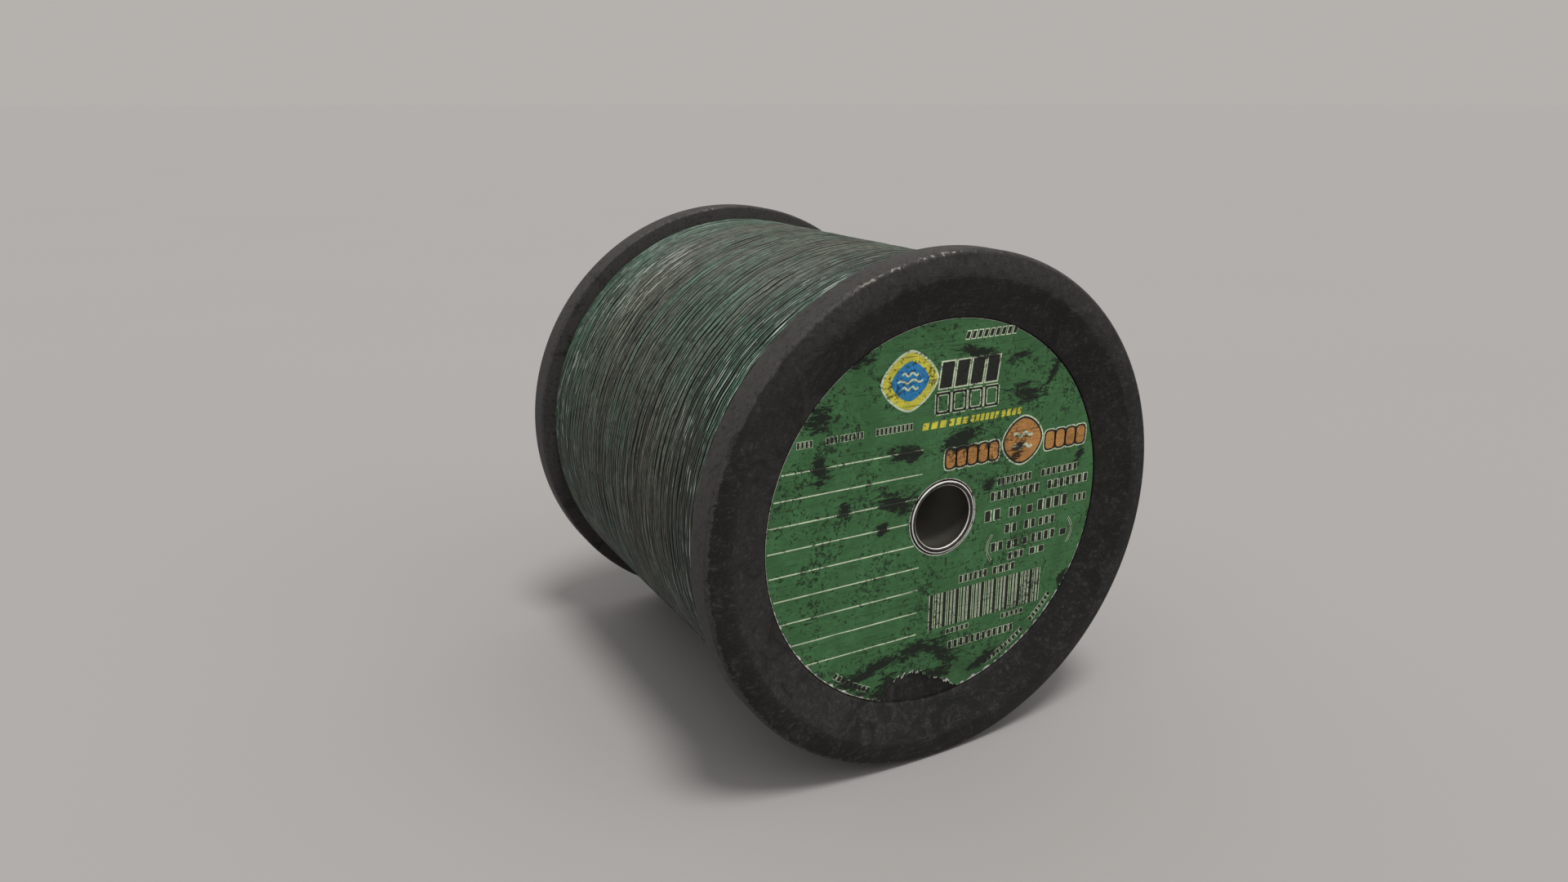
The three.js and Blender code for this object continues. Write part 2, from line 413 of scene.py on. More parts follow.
def arbor_plastic():
    """Dark and rubbed at the mouths, painted lighter deep in the bore as painted light, with a
    bright ring at each edge that is wear and a painted highlight.
    """
    finish = Finish("arbor_plastic")
    place = finish.position()
    x, y, z = finish.split(place)
    radius = finish.hypotenuse(x, z)
    height = finish.math("ABSOLUTE", y)
    drawn = finish.noise(finish.mapped(place, (0.5, 0.05, 0.5)), 1.0, 4, 0.6)
    mottle = finish.noise(place, 0.4, 5, 0.65)
    colour = finish.mix(mottle, TUBE_DARK, TUBE_LIGHT)
    # Painted light: deep in the bore, where little light reaches, the lining is painted much
    # lighter.
    deep = finish.ramp(height, TUBE_END_Y + 1, TUBE_END_Y - 14)
    lining = finish.mix(deep, finish.mix(drawn, *MOUTH_LINING), finish.mix(drawn, *DEEP_LINING_PAINTED_LIGHT))
    inside = finish.ramp(radius, BORE_RADIUS + 0.1, BORE_RADIUS + 0.02)
    colour = finish.mix(inside, colour, lining)
    # Painted highlight and wear: a bright ring on each edge of the mouth, where the edges catch
    # the light.
    edges = ((BORE_RADIUS, TUBE_END_Y - TUBE_CHAMFER), (TUBE_RADIUS - 0.1, TUBE_END_Y - 0.05))
    for edge in edges:
        off = near_edge(finish, radius, height, *edge)
        rubbed_and_lit = finish.ramp(finish.plus(off, finish.spread(mottle, -0.16, 0.2)), 0.26, 0.14)
        colour = finish.over(colour, EDGE_WEAR_AND_HIGHLIGHT, rubbed_and_lit, 0.95)
    return finish.set(
        Base_Color=colour,
        Roughness=finish.spread(mottle, 0.4, 0.6),
        Specular_IOR_Level=0.35,
        Normal=finish.bump(mottle, 0.05, 0.6),
    )


LABEL_GREEN = (0.047, 0.148, 0.052)
LABEL_PAPER = (0.74, 0.74, 0.68)
LABEL_SPECK = (0.02, 0.05, 0.02)
LABEL_SCRATCH = (0.012, 0.016, 0.011)
LABEL_GRIME = (0.009, 0.0095, 0.008)
HAIRLINES = ((8, 9, 0.2), (-52, 12, 0.18), (38, 8, 0.2), (-15, 14, 0.16))    # angle, length, width

# Black smears on the front label: centre x and z, half length and half width in mm, and angle.
SMEARS = (
    (-34.3, 29.5, 4.0, 2.6, 35), (-24.0, 41.2, 3.6, 1.7, 10), (-34.2, 17.4, 2.4, 3.2, 20),
    (-11.6, 17.8, 5.2, 2.0, -8), (-27.8, 7.2, 1.4, 3.0, 10), (-13.2, 6.2, 6.2, 2.7, -5),
    (-17.6, 0.2, 2.2, 1.6, 40), (8.0, 39.2, 5.6, 1.5, -10), (21.2, 36.8, 3.4, 1.3, 12),
    (23.2, 27.6, 6.0, 2.4, -14), (4.4, 18.8, 6.4, 2.6, 15), (22.0, 14.4, 3.2, 1.8, 50),
    (42.4, 9.2, 1.3, 2.6, -20), (39.5, -24.5, 1.4, 3.2, -30), (-19.0, -35.4, 9.5, 1.7, 12),
    (-6.5, -33.4, 8.5, 2.0, 6), (1.5, -36.6, 7.0, 1.9, -24), (-1.0, -41.5, 7.0, 2.2, 5),
    (-15.0, -40.5, 4.6, 2.4, 30), (13.5, 6.0, 2.4, 1.6, 60), (-14.0, -43.5, 6.0, 2.4, -18),
    (-25.0, -38.0, 5.5, 1.5, -40), (15.0, -41.5, 5.0, 1.6, 25), (31.0, 31.0, 1.0, 6.0, -28),
)


def grime(finish, place, smears):
    """Where black grime lies on a label, from 0 to 1."""
    ragged = finish.noise(finish.mapped(place, (0.5, 1.0, 1.3), -12), 0.5, 8, 0.8, 0.9)
    coarse = finish.noise(place, 0.10, 4, 0.6)
    fleck = finish.noise(place, 0.95, 6, 0.8, 0.5)
    grit = finish.ramp(finish.times(fleck, finish.spread(coarse, 0.62, 1.34)), 0.54, 0.575)
    foot = finish.ramp(finish.split(place)[2], -28, -46)
    film = finish.total((finish.ramp(ragged, 0.5, 0.75), 0.3), (foot, 0.24))
    cover = finish.larger(finish.times(grit, 0.85), film)
    for x, z, half_length, half_width, angle in smears:
        size = (half_length, 1000, half_width)
        off = finish.measure("LENGTH", finish.mapped(place, size, -angle, (x, 0, z), "TEXTURE"))
        off = finish.plus(off, finish.spread(ragged, 3.4, -3.2))
        cover = finish.larger(cover, finish.ramp(off, 1.15, 0.85))
    return cover


def printed(name, colour, smears, fade=0.0):
    """Ink or bare paper on a label, under the same grime and hairlines as the rest of it.

    fade is how far the colour is rubbed back to the green in patches.
    """
    finish = Finish(name)
    place = finish.position()
    tone = finish.noise(place, 0.2, 5, 0.65)
    fibre = finish.noise(place, 1.7, 5, 0.72)
    darker = tuple(c * 0.8 for c in colour)
    lighter = tuple(min(1.0, c * 1.15 + 0.004) for c in colour)
    tint = finish.mix(finish.ramp(tone, 0.3, 0.7), darker, lighter)
    tint = finish.over(tint, LABEL_GREEN, finish.ramp(fibre, 0.5, 0.66), fade)
    tint = finish.over(tint, LABEL_SPECK, finish.ramp(fibre, 0.6, 0.74), 0.55)
    tint = finish.over(tint, LABEL_SCRATCH, scratches(finish, place, HAIRLINES, 0.345), 0.75)
    dirt = grime(finish, place, smears)
    tint = finish.over(tint, LABEL_GRIME, dirt, 0.95)
    return finish.set(
        Base_Color=tint,
        Roughness=finish.spread(dirt, 0.5, 0.78),
        Specular_IOR_Level=0.25,
        Normal=finish.bump(finish.total((fibre, 0.5), (dirt, 0.8)), 0.03, 0.6),
    )


LINE_BROWN = (0.158, 0.150, 0.116)
LINE_GREY = (0.122, 0.166, 0.121)
LINE_GREEN = (0.104, 0.236, 0.154)
LINE_SOIL_AND_SHADE = (0.014, 0.019, 0.014)
LINE_GLINT = (0.58, 0.66, 0.60)
LINE_GROOVE_SHADE = (0.002, 0.003, 0.0024)
LINE_UNLIT = (0.003, 0.004, 0.003)
# Where painted highlights on the line are thickest: the middle of each place and how far it
# reaches, in mm.
GLINT_PLACES = (((-35, 30, 44), 22), ((-44, -44, 34), 16))


def braided_line(name, share):
    """Waxed braid, with attributes on its mesh. tone is each turn's own shade, from brown to
    green, soil is how dirty it is, shine picks out its shiny stretches, which are smoother and
    carry painted highlights, and crown is how far a point stands out of the groove beside its
    turn; the grooves are painted dark as shade. share is how much of the colour is left in the
    shade of the layers above."""
    finish = Finish(name)
    place = finish.position()
    _, y, z = finish.split(place)
    ends = finish.ramp(finish.math("ABSOLUTE", y), LINE_END_Y - 32, LINE_END_Y - 4)
    shade_below = finish.ramp(z, 44, -6)

    # The colour of the braid, greener at the ends and browner underneath as painted shade, and the
    # soil on it, darker underneath as painted shade.
    region = finish.spread(finish.noise(place, 0.022, 4, 0.6), -1.0, 1.0)
    own = finish.attribute("tone")
    tone = finish.total((own, 1.0), (region, 1.0), (ends, 0.25), (shade_below, -0.25))
    colour = finish.mix(finish.ramp(tone, 0.05, 0.45), LINE_BROWN, LINE_GREY)
    colour = finish.over(colour, LINE_GREEN, finish.ramp(tone, 0.45, 0.95))
    dull = finish.ramp(finish.noise(place, 0.45, 6, 0.75), 0.44, 0.68)
    soil = finish.plus(finish.attribute("soil"), dull)
    # Painted shade: soil is added towards the bottom of the pack, darkening the side that gets
    # less light.
    soil = finish.math("ADD", soil, finish.times(shade_below, 0.34), clamp=True)
    colour = finish.over(colour, LINE_SOIL_AND_SHADE, soil, 0.8)

    # Painted highlights on the crowns of the turns, thickest at the ends and in the places where
    # they are painted most.
    shine = finish.attribute("shine")
    patch = finish.ramp(finish.noise(place, 0.08, 4), 0.42, 0.54)
    patch = finish.times(patch, finish.spread(ends, 0.3, 1.0))
    for middle, reach in GLINT_PLACES:
        rubbed_and_lit = finish.ramp(finish.measure("DISTANCE", place, middle), reach, reach / 3)
        patch = finish.larger(patch, rubbed_and_lit)
        shine = finish.plus(shine, finish.times(rubbed_and_lit, 0.09))
    crown = finish.attribute("crown")
    glint = finish.times(finish.ramp(shine, 0.60, 0.76), patch)
    glint = finish.times(glint, finish.ramp(crown, 0.84, 0.985))
    colour = finish.over(colour, LINE_GLINT, glint, 0.9)
    # Painted shade: the flanks of each turn darken towards the groove beside it.
    colour = finish.mix(finish.ramp(crown, 0.5, 1.0), LINE_GROOVE_SHADE, colour)
    colour = finish.mix(share, LINE_UNLIT, colour)
    return finish.set(
        Base_Color=colour,
        Roughness=finish.spread(shine, 0.6, 0.2),
        Specular_IOR_Level=0.45,
        Normal=finish.bump(finish.noise(place, 2.6, 4, 0.7), 0.05, 0.6),
    )


def plain_card(name, colour, rough):
    """Hidden pieces: plain stock with a soft mottle and a fine tooth."""
    finish = Finish(name)
    place = finish.position()
    mottle = finish.noise(place, 0.15, 5, 0.6)
    tooth = finish.noise(place, 2.4, 3, 0.6)
    tint = finish.mix(mottle, tuple(c * 0.8 for c in colour), tuple(c * 1.15 for c in colour))
    return finish.set(
        Base_Color=tint,
        Roughness=finish.spread(tooth, rough - 0.08, rough + 0.08),
        Normal=finish.bump(tooth, 0.04, 0.5),
    )


# ------------------------------ flanges, tube and barrel


def flange_section():
    """The section of a flange that faces +y, with its corners rounded as moulded."""
    rim_outer = round_corner(RIM_RADIUS - RIM_ROUND, CREST_Y - RIM_DROP, RIM_ROUND, 0, 78, 8)
    crest = round_corner(CREST_INNER, CREST_Y - CREST_ROUND, CREST_ROUND, 90, 110, 6)
    inner_y = FLANGE_INNER_Y + INNER_ROUND
    rim_inner = round_corner(RIM_RADIUS - INNER_ROUND, inner_y, INNER_ROUND, -90, 0, 6)
    return [
        [BOSS_BORE, BOSS_END_Y],
        [BOSS_RADIUS, BOSS_END_Y],
        [BOSS_RADIUS, WEB_BACK_Y],
        [SPIGOT_RADIUS - WALL, WEB_BACK_Y],
        [SPIGOT_RADIUS - WALL, SPIGOT_END_Y],
        [SPIGOT_RADIUS - SPIGOT_CHAMFER[0], SPIGOT_END_Y],
        [SPIGOT_RADIUS, SPIGOT_END_Y + SPIGOT_CHAMFER[1]],
        [SPIGOT_RADIUS, FLANGE_INNER_Y],
        *rim_inner,
        *rim_outer,
        [61.4, CREST_Y - 0.38],
        [60.4, CREST_Y - 0.17],
        [CREST_OUTER, CREST_Y],
        *crest,
        [DISH_RADIUS + 1.2, DISH_Y + 0.44],
        [DISH_RADIUS + 0.5, DISH_Y + 0.18],
        [DISH_RADIUS + 0.1, DISH_Y],
        [DISH_RADIUS, DISH_Y - 0.1],
        [DISH_RADIUS, SEAT_Y],
        [BOSS_BORE, SEAT_Y],
    ]


def rib(angle):
    """One rib behind the web, as a closed box from the boss to the spigot."""
    along = (BOSS_RADIUS - BOSS_OVERLAP, SPIGOT_RADIUS - WALL + BOSS_OVERLAP)
    deep = (RIB_END_Y, WEB_BACK_Y + BOSS_OVERLAP)
    wide = (-RIB_THICKNESS / 2, RIB_THICKNESS / 2)
    corners = np.array([[a, d, w] for a in along for d in deep for w in wide])
    sin, cos = math.sin(angle), math.cos(angle)
    turn = np.array([[sin, 0, cos], [0, 1, 0], [cos, 0, -sin]])
    faces = [(0, 1, 3, 2), (4, 6, 7, 5), (0, 4, 5, 1), (2, 3, 7, 6), (0, 2, 6, 4), (1, 5, 7, 3)]
    return corners @ turn, faces


def make_flanges(material):
    ribs = [rib(2 * math.pi * (i + 0.5) / RIB_COUNT) for i in range(RIB_COUNT)]
    points, faces = joined([lathe(flange_section()), *ribs])
    rear = make_piece("rear_flange_moulding", points, faces, material)
    front = make_piece("front_flange_moulding", turned_round(points), faces, material)
    for piece, node in ((front, "front_flange"), (rear, "rear_flange")):
        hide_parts(node)


def make_arbor_tube(material):
    """The tube through both bosses, its mouths eased by small chamfers."""
    mouth = round_corner(TUBE_RADIUS - TUBE_ROUND, TUBE_END_Y - TUBE_ROUND, TUBE_ROUND, 0, 90, 3)
    section = [
        [BORE_RADIUS, TUBE_CHAMFER - TUBE_END_Y],
        [BORE_RADIUS + TUBE_CHAMFER, -TUBE_END_Y],
        *[[radius, -y] for radius, y in reversed(mouth)],
        *mouth,
        [BORE_RADIUS + TUBE_CHAMFER, TUBE_END_Y],
        [BORE_RADIUS, TUBE_END_Y - TUBE_CHAMFER],
    ]
    points, faces = lathe(section, TUBE_STEPS)
    piece = make_piece("arbor_tube_moulding", points, faces, material)
    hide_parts("arbor_tube")


# ------------------------------ the wound line

RIDGES = 124                 # ridges across the pack, each about two turns of braid side by side
RIDGE_STEPS = 300            # points round one turn
RIDGE_WIDTH = 0.68
RIDGE_HEIGHT = 0.60
RIDGE_ACROSS = np.radians((-104, -60, -28, -9, 9, 28, 60, 104))
RIDGE_GROOVE = np.array((0, 0, 0, 0.09, 0.09, 0, 0, 0))
UNDER_TURNS = 96             # ridges of the layer below, and how far down it lies
UNDER_DEPTH = 1.35 * RIDGE_HEIGHT
GROUPS = (1, 2, 2, 2, 3)     # how many ridges bed down together
GROUP_PULL = 0.19            # how far each is drawn towards its neighbour, in mm
SEAM = 0.86                  # the share of a half turn after which a ridge becomes the next one
END_SLOPE = 4.0              # how far from the flanges the turns settle, and how deep, in mm
END_DROP = 0.35
SHINE_STEPS = 4              # steps that a shiny stretch of a turn lasts, smoother and with painted highlights
CROSSING_TURNS = 26          # single turns that stray over the others
CROSSING_STEPS = 150
STRAND = 0.46
STRAND_ACROSS = np.radians((-120, -60, 0, 60, 120))
BANDS = 4                    # the outer layer is split along the axis into this many pieces

# Ripples of a layer: how many waves, the range of their cycles a turn, and that of their
# radians per mm along the axis.
RIPPLES = {
    "sway": (6, (2, 6), (0.03, 0.14)),
    "kink": (12, (14, 42), (0.06, 0.30)),
    "bunch": (8, (1, 9), (1.0, 2.6)),
    "lift": (10, (3, 22), (0.6, 3.2)),
    "shade": (9, (1, 5), (0.15, 0.9)),
    "fleck": (24, (18, 70), (1.0, 5.0)),
    "squeeze": (8, (2, 16), (1.2, 4.5)),
    "grimy": (24, (16, 60), (1.0, 5.0)),
}


def waves(rng, count, turns_range, rate_range):
    """Random waves over the wound surface: cycles per turn, radians per mm, phase and size."""
    cycles = rng.integers(*turns_range, size=count, endpoint=True)
    rate = rng.uniform(*rate_range, size=count) * rng.choice((-1, 1), size=count)
    phase = rng.uniform(0, 2 * np.pi, size=count)
    size = rng.uniform(0.6, 1.0, size=count) / math.sqrt(count)
    return cycles, rate, phase, size


def ripple(field, angle, along):
    """The sum of a set of waves, about 1 high."""
    total = 0.0
    for cycles, rate, phase, size in zip(*field):
        total = total + size * np.sin(cycles * angle + rate * along + phase)
    return total


def per_turn(own, values):
    """One value for each turn, blending into the next turn's where own runs between them."""
    return np.interp(own, np.arange(len(values)), values)


def wind_layer(seed, turns, radius, lay):
    """One layer: the angle, place along the axis, radius and width of its turns, and its shades.

    lay is 1 for turns that advance with the angle and -1 for the other way. A turn starts
    and ends underneath.
    """
    rng = np.random.default_rng(seed)
    group = np.repeat(np.arange(turns), rng.choice(GROUPS, size=turns))[:turns]
    middle = np.bincount(group, np.arange(turns)) / np.bincount(group)
    pull = (middle[group] - np.arange(turns)) * GROUP_PULL
    fields = {name: waves(rng, *settings) for name, settings in RIPPLES.items()}

    steps = np.linspace(-np.pi, np.pi, RIDGE_STEPS + 1)[None, :]
    turn = np.arange(turns)[:, None] + steps / (2 * np.pi) + 0.5
    late = np.clip((np.abs(steps) / np.pi - SEAM) / (1 - SEAM), 0, 1)
    own = np.arange(turns)[:, None] + np.sign(steps) * late * late * (1.5 - late)
    angle = steps * lay
    length = 2 * LINE_END_Y - RIDGE_WIDTH
    along = turn / turns * length - length / 2
    wave = {name: ripple(field, angle, along) for name, field in fields.items()}

    inset = np.clip((length / 2 - np.abs(along)) / END_SLOPE, 0, 1)
    moved = 0.42 * wave["sway"] + 0.15 * wave["kink"] + 0.12 * wave["bunch"]
    place = along + inset * (moved + per_turn(own, pull))
    height = radius + 0.09 * wave["lift"] - END_DROP * (1 - inset) ** 2
    width = per_turn(own, rng.uniform(0.85, 1.12, size=turns))
    width = RIDGE_WIDTH * np.clip(width + 0.16 * wave["squeeze"], 0.6, 1.2)

    tone = 0.55 + 0.1 * wave["shade"] + 0.3 * wave["fleck"]
    paler = rng.normal(0, 0.07, size=turns) + rng.normal(0, 0.06, size=turns)[group]
    tone = tone + per_turn(own, paler)
    dirty = rng.normal(0.1, 0.18, size=turns) + rng.normal(0.1, 0.3, size=turns)[group]
    soil = per_turn(own, np.clip(dirty, 0, 0.9)) + 0.45 * wave["grimy"]
    shine = rng.random(turn.shape)
    shine = sum(np.roll(shine, k, axis=1) for k in range(SHINE_STEPS)) / SHINE_STEPS
    shine = 0.5 + (shine - 0.5) * math.sqrt(SHINE_STEPS / 3)
    shades = {"tone": tone, "soil": np.clip(soil, 0, 1), "shine": np.clip(shine, 0, 1)}
    return (angle + np.zeros_like(turn), place, height, width), shades


def section_points(angle, place, height, width, across, tall, groove):
    """The section of every turn at every step: rounded, with any groove along its crown."""
    y = place[..., None] + width[..., None] / 2 * np.sin(across)
    radius = height[..., None] + tall / 2 * np.cos(across) - groove
    return around(radius, y, angle[..., None])


def strand_piece(name, points, shades, across, material, lay):
    """One mesh from runs of section points, with its shades and crown as attributes."""
    runs, steps, count = points.shape[:3]
    one = grid_faces(steps, count)
    if lay < 0:
        one = one[:, ::-1]
    faces = (one[None] + (np.arange(runs) * steps * count)[:, None, None]).reshape(-1, 4)
    piece = make_piece(name, points, faces, material, smooth_angle=180)
    values_of = {key: np.repeat(values.ravel(), count) for key, values in shades.items()}
    values_of["crown"] = np.tile(np.clip(np.cos(across), 0, 1), runs * steps)
    for key, values in values_of.items():
        attribute = piece.data.attributes.new(key, "FLOAT", "POINT")
        attribute.data.foreach_set("value", values.astype(np.float32))


def make_crossing_turns(material):
    """Single turns that stray across their neighbours on the way round."""
    rng = np.random.default_rng(21)
    count = CROSSING_TURNS
    begin = np.linspace(-LINE_END_Y + 5, LINE_END_Y - 12, count)[:, None]
    start = rng.uniform(-np.pi, np.pi, size=(count, 1))
    sweep = rng.uniform(0.9, 2.4, size=(count, 1))
    drift = rng.uniform(1.5, 6.0, size=(count, 1)) * rng.choice((-1, 1), size=(count, 1))
    share = np.linspace(0, 1, CROSSING_STEPS)[None, :]
    angle = start + sweep * share
    place = begin + drift * share * share * (3 - 2 * share) + 0.2 * np.sin(17 * angle + begin)
    risen = np.clip(np.minimum(share, 1 - share) / 0.07, 0, 1)
    height = LINE_RADIUS - 0.55 + 0.4 * risen
    shades = {
        "tone": rng.uniform(0.4, 0.95, size=(count, 1)) + 0.15 * np.sin(9 * angle),
        "soil": np.full_like(angle, 0.1),
        "shine": 0.5 + 0.4 * np.sin(31 * angle + begin),
    }
    width = np.full_like(angle, STRAND)
    points = section_points(angle, place, height, width, STRAND_ACROSS, STRAND, 0.0)
    strand_piece("line_crossing_turns", points, shades, STRAND_ACROSS, material, 1)


def make_line_core(material):
    """The solid body of the pack, under the layers that show. It is painted near black where it
    shows in the gaps, as shade.
    """
    radius = LINE_RADIUS - 2 * RIDGE_HEIGHT
    inner = BARREL_RADIUS + 0.8
    end = LINE_END_Y
    points, faces = lathe([[inner, -end], [radius, -end], [radius, end], [inner, end]])
    core = make_piece("line_core", points, faces, material)
    return core


def make_wound_line(strand, under, core):
    """The pack: a solid core and an inner layer, both painted dark as shade where they show in the
    gaps, and the outer layer.
    """
    body = make_line_core(core)
    course, shades = wind_layer(5, UNDER_TURNS, LINE_RADIUS - UNDER_DEPTH, -1)
    points = section_points(*course, RIDGE_ACROSS, RIDGE_HEIGHT, RIDGE_GROOVE)[:, ::3]
    shades = {key: values[:, ::3] for key, values in shades.items()}
    strand_piece("line_inner_layer", points, shades, RIDGE_ACROSS, under, -1)
    course, shades = wind_layer(11, RIDGES, LINE_RADIUS - RIDGE_HEIGHT / 2, 1)
    points = section_points(*course, RIDGE_ACROSS, RIDGE_HEIGHT, RIDGE_GROOVE)
    for band, runs in enumerate(np.array_split(np.arange(RIDGES), BANDS)):
        own = {key: values[runs] for key, values in shades.items()}
        strand_piece(f"line_outer_layer_{band + 1}", points[runs], own, RIDGE_ACROSS, strand, 1)
    make_crossing_turns(strand)
    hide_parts("wound_line")


# ------------------------------ labels

LABEL_STEPS = 720
LABEL_RINGS = 16
LOZENGE_STEPS = 48
PRINT_INSET = 0.24           # from the paper's edge to the printed face's
# Lifts in mm over the paper's back: the sheet, its printed face and the inks on it.
PAPER_LIFT = 0.05
PRINT_LIFT = 0.14
HALO_LIFT = 0.165            # pale outlines, printed under the inks
INK_LIFT = 0.19
TOP_LIFT = 0.215             # inks printed over other inks
WAVE_LIFT = 0.235
# The torn stretch of the front label's edge: angle in degrees, 90 to the right, and radius.
TEAR = (
    (171.2, 47.7), (174.0, 46.0), (179.1, 42.9),
    (183.0, 42.3), (186.1, 40.5), (191.1, 40.1),
    (197.6, 42.0), (199.3, 44.6), (199.9, 47.7),
)


def edge_radius(degrees, torn, inset, seed):
    """The label's outer radius at each angle, rubbed back underneath and ragged where torn."""
    rng = np.random.default_rng(seed)
    angle = np.radians(degrees)
    rub = waves(rng, 12, (9, 160), (0, 0))
    low = np.clip(-np.cos(angle) - 0.1, 0, 1)
    radius = LABEL_RADIUS - inset * (0.3 + (1.6 + 2.2 * ripple(rub, angle, 0)) * low)
    radius = np.minimum(radius, LABEL_RADIUS)
    if not torn:
        return radius
    angles, radii = zip(*TEAR)
    ragged = waves(rng, 16, (40, 330), (0, 0))
    bite = np.interp(degrees, angles, radii, left=99, right=99)
    bite = bite + 0.7 * ripple(ragged, angle, 0) - inset * 1.5
    return np.minimum(radius, bite)


def on_label(name, points, faces, front, lift, material):
    """Puts shapes drawn in x and z onto a label, at a lift in mm over the paper's back."""
    y = -(LABEL_FRONT_Y - PAPER + lift)
    points = np.insert(np.asarray(points, dtype=float), 1, y, axis=-1).reshape(-1, 3)
    if not front:
        points = turned_round(points)
    piece = make_piece(name, points, faces, material)
    return piece


def label_disc(name, front, inset, seed, lift, material):
    """A round sheet with a hole, ragged at the bottom if it is the front one."""
    degrees = np.linspace(0, 360, LABEL_STEPS, endpoint=False)
    outer = edge_radius(degrees, front, inset, seed)[:, None]
    hole = LABEL_HOLE + inset
    radius = hole + (outer - hole) * np.linspace(0, 1, LABEL_RINGS)[None, :]
    angle = np.radians(degrees)[:, None]
    points = np.stack([radius * np.sin(angle), radius * np.cos(angle)], axis=-1)
    faces = grid_faces(LABEL_STEPS, LABEL_RINGS, True)
    return on_label(name, points.reshape(-1, 2), faces, front, lift, material)


class Print:
    """Flat shapes of one ink, all made of four-cornered faces given as x and z in mm."""

    def __init__(self):
        self.quads = []

    def bar(self, x0, x1, z0, z1, grow=0.0, slant=0.0):
        left, right, foot, top = x0 - grow, x1 + grow, z0 - grow, z1 + grow
        corners = ((left, foot), (right, foot), (right, top), (left, top))
        self.quads.append([(x + slant * (z - z0), z) for x, z in corners])

    def ribbon(self, points, width):
        """A band of even width along a line of points."""
        points = np.asarray(points, dtype=float)
        along = np.gradient(points, axis=0)
        side = np.stack([-along[:, 1], along[:, 0]], axis=1)
        side = side / np.linalg.norm(side, axis=1, keepdims=True) * width / 2
        left, right = points + side, points - side
        self.quads += zip(right, right[1:], left[1:], left)

    def lozenge(self, x, z, half_width, half_height, power):
        """A rounded diamond, filled as a fan. A higher power is squarer."""
        angle = np.linspace(0, 2 * np.pi, LOZENGE_STEPS + 1)
        c, s = np.cos(angle), np.sin(angle)
        edge_x = x + half_width * np.sign(c) * np.abs(c) ** (2 / power)
        edge_z = z + half_height * np.sign(s) * np.abs(s) ** (2 / power)
        for i in range(0, LOZENGE_STEPS, 2):
            self.quads.append([(x, z), *[(edge_x[j], edge_z[j]) for j in (i, i + 1, i + 2)]])

    def ticks(self, x0, x1, z0, z1, count, slant=0.0, share=0.55):
        """A greeked word: a row of plain upright ticks of one height."""
        pitch = (x1 - x0) / (count - 1 + share)
        for i in range(count):
            self.bar(x0 + i * pitch, x0 + (i + share) * pitch, z0, z1, 0.0, slant)

    def arc_ticks(self, radius, height, start, end, count, share=0.55):
        """A greeked word that follows the label's edge, between two angles in degrees."""
        flat = Print()
        flat.ticks(start, end, radius, radius + height, count, 0.0, share)
        for quad in flat.quads:
            polar = [(r, math.radians(a)) for a, r in quad]
            self.quads.append([(r * math.sin(a), r * math.cos(a)) for r, a in polar])

    def make(self, name, front, lift, material):
        quads = np.array(self.quads)
        faces = np.arange(len(quads) * 4).reshape(-1, 4)
        on_label(name, quads.reshape(-1, 2), faces, front, lift, material)


# Greeked words printed dark with a pale outline: left, right, foot and top in mm, and ticks.
SMALL_WORDS = (
    (-40.0, -36.2, 23.2, 25.0, 4), (-32.7, -29.9, 23.2, 25.0, 3), (-28.9, -23.2, 23.2, 25.0, 6),
    (-19.7, -9.9, 23.2, 25.0, 9), (16.1, 26.6, 5.2, 7.3, 8), (30.0, 41.6, 5.2, 7.3, 7),
    (14.2, 29.4, 1.4, 4.0, 8), (32.4, 45.6, 1.4, 4.0, 7), (12.8, 17.4, -3.8, -0.5, 2),
    (20.4, 23.8, -3.8, -1.0, 2), (26.2, 27.8, -3.8, -1.4, 1), (29.6, 39.2, -3.8, -0.5, 4),
    (41.6, 45.6, -3.6, -1.4, 3), (19.4, 23.0, -8.0, -5.4, 2), (25.6, 29.0, -8.0, -5.4, 2),
    (30.4, 35.4, -8.0, -5.6, 3), (15.3, 18.9, -12.2, -9.5, 2), (20.4, 23.8, -12.4, -9.8, 2),
    (25.4, 26.8, -12.2, -10.0, 1), (28.2, 35.8, -12.2, -9.5, 4), (37.8, 39.8, -12.2, -10.2, 1),
    (21.0, 25.8, -15.4, -13.2, 3), (28.0, 32.6, -15.4, -13.4, 2), (5.9, 14.4, -18.4, -16.1, 6),
    (16.4, 23.2, -18.4, -16.1, 4), (2.6, 9.4, -31.4, -29.9, 5), (20.0, 27.0, -31.4, -29.9, 5),
    (3.4, 24.0, -35.8, -33.4, 12),
)
# The two headings, as rows of even blocks and of even open boxes: left and right of each.
BLOCKS = ((-2.8, 0.6), (1.6, 5.0), (6.0, 9.4), (10.4, 13.8))
BLOCK_FOOT, BLOCK_TOP = 31.9, 37.9
BOXES = ((-3.4, 0.2), (1.3, 4.9), (6.0, 9.6), (10.7, 14.3))
BOX_FOOT, BOX_TOP = 26.0, 30.6
ORANGE_PILLS = ((-0.2, 15.8, 5), (30.2, 43.6, 4))          # left, right and how many pills
PILL_FOOT = 12.2
PILL_HEIGHT = 4.4
TAGLINE = ((-7.2, -0.6, 3), (0.4, 5.6, 3), (6.6, 14.8, 6), (15.8, 21.8, 4))    # left, right, ticks
TAGLINE_FOOT, TAGLINE_TOP = 22.5, 24.2
EDGE_WORDS = ((206, 221, 9), (143, 160, 10), (128, 139, 7))    # start and end in degrees, ticks
BLUE_BADGE = (-11.0, 34.6)       # middles of the badges on the front label
ORANGE_BADGE = (23.1, 15.7)
REAR_BADGE = (0, 28.5)
RULES = 9                        # ruled lines of the front label's table
RULE_TOP = 17.9
RULE_STEP = 5.9
